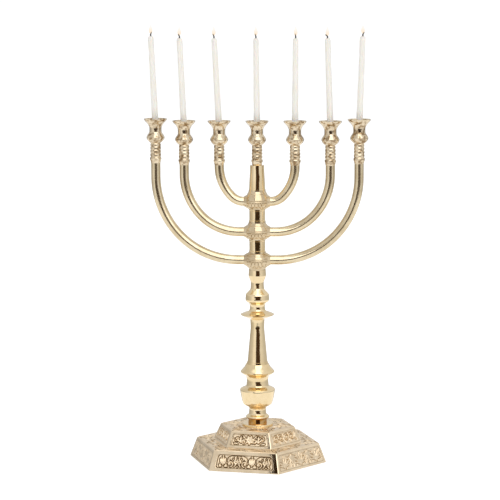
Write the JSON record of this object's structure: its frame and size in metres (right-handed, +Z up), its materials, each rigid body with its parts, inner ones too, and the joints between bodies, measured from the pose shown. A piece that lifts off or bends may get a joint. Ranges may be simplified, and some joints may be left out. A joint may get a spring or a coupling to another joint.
{
  "type": "menorah",
  "caption": "Brass menorah on a stepped hexagonal base: a turned stem with paired curved arms that swivel, flared cups and slim taper candles that lift out.",
  "frame": {"origin": "centre of the base's underside, on the stem's axis", "axes": "+Z up along the stem, +X along the row of cups to the right, -Y towards the front"},
  "size_m": [0.2392, 0.14, 0.4565],
  "materials": {
    "polished_brass": "polished",
    "cast_brass": "polished high points over a darker cast ground",
    "steel": "zinc plated",
    "wax": "satin wax",
    "wick": "charred cotton"
  },
  "bodies": {
    "stand": {"base_casting": "cast_brass", "foot_ring": "polished_brass", "lower_vase": "polished_brass", "column": "polished_brass", "drip_disc": "polished_brass", "stem_knop": "polished_brass", "spacer_lower": "polished_brass", "spacer_upper": "polished_brass", "top_spacer": "polished_brass", "tie_rod": "steel", "base_washer": "steel", "base_nut": "steel", "cup_4": "polished_brass"},
    "branch_outer": {"hub_lower": "cast_brass", "arm_outer_left": "polished_brass", "arm_outer_right": "polished_brass", "cup_1": "polished_brass", "cup_7": "polished_brass"},
    "branch_middle": {"hub_middle": "cast_brass", "arm_middle_left": "polished_brass", "arm_middle_right": "polished_brass", "cup_2": "polished_brass", "cup_6": "polished_brass"},
    "branch_inner": {"hub_upper": "cast_brass", "arm_inner_left": "polished_brass", "arm_inner_right": "polished_brass", "cup_3": "polished_brass", "cup_5": "polished_brass"},
    "candle_1_body": {"candle_1": "wax", "wick_1": "wick"},
    "candle_2_body": {"candle_2": "wax", "wick_2": "wick"},
    "candle_3_body": {"candle_3": "wax", "wick_3": "wick"},
    "candle_4_body": {"candle_4": "wax", "wick_4": "wick"},
    "candle_5_body": {"candle_5": "wax", "wick_5": "wick"},
    "candle_6_body": {"candle_6": "wax", "wick_6": "wick"},
    "candle_7_body": {"candle_7": "wax", "wick_7": "wick"}
  },
  "joints": [
    {"name": "outer_branch_turn", "type": "hinge", "parent": "stand", "child": "branch_outer", "pos_m": [0, 0, 0.2157], "axis": [0, 0, 1], "continuous": true},
    {"name": "middle_branch_turn", "type": "hinge", "parent": "stand", "child": "branch_middle", "pos_m": [0, 0, 0.2457], "axis": [0, 0, 1], "continuous": true},
    {"name": "inner_branch_turn", "type": "hinge", "parent": "stand", "child": "branch_inner", "pos_m": [0, 0, 0.278], "axis": [0, 0, 1], "continuous": true},
    {"name": "candle_1_lift", "type": "slide", "parent": "branch_outer", "child": "candle_1_body", "axis": [-0.0436, 0, 0.999], "range_m": [0, 0.04]},
    {"name": "candle_2_lift", "type": "slide", "parent": "branch_middle", "child": "candle_2_body", "axis": [-0.0436, 0, 0.999], "range_m": [0, 0.04]},
    {"name": "candle_3_lift", "type": "slide", "parent": "branch_inner", "child": "candle_3_body", "axis": [-0.0523, 0, 0.9986], "range_m": [0, 0.04]},
    {"name": "candle_4_lift", "type": "slide", "parent": "stand", "child": "candle_4_body", "axis": [-0.0105, 0, 0.9999], "range_m": [0, 0.04]},
    {"name": "candle_5_lift", "type": "slide", "parent": "branch_inner", "child": "candle_5_body", "axis": [0.007, 0, 1], "range_m": [0, 0.04]},
    {"name": "candle_6_lift", "type": "slide", "parent": "branch_middle", "child": "candle_6_body", "axis": [-0.0349, 0, 0.9994], "range_m": [0, 0.04]},
    {"name": "candle_7_lift", "type": "slide", "parent": "branch_outer", "child": "candle_7_body", "axis": [0.0349, 0, 0.9994], "range_m": [0, 0.04]}
  ]
}
